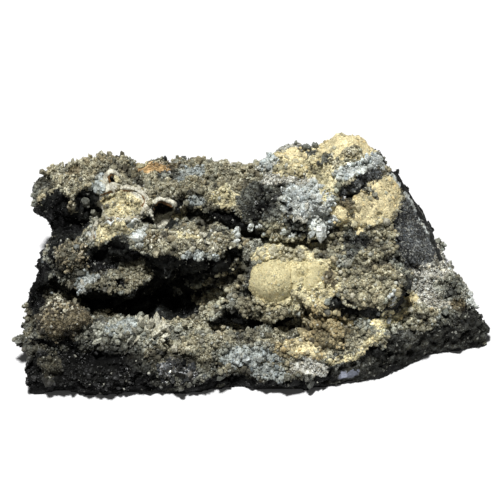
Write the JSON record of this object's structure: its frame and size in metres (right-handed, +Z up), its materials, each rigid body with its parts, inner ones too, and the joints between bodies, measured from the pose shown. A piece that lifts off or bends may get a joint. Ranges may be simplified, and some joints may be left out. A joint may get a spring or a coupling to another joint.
{
  "type": "galena specimen",
  "caption": "Broken wedge of dark galena and sphalerite ore, overgrown with quartz and cream carbonate druse, lying on its flat back.",
  "frame": {"origin": "middle of the bounding box's underside, on the surface that the specimen lies on", "axes": "+X along the specimen's length, towards its pointed low end; +Y to the high rear side; +Z up"},
  "size_m": [0.215, 0.1062, 0.0661],
  "materials": {
    "ore": "broken, near-black, with fine glints",
    "quartz": "small grey-white crystals, glassy",
    "carbonate": "cream to buff crust and beads, matte",
    "galena": "small lead-grey faces, metallic lustre"
  },
  "bodies": {
    "root": {"specimen": "ore"}
  },
  "joints": []
}
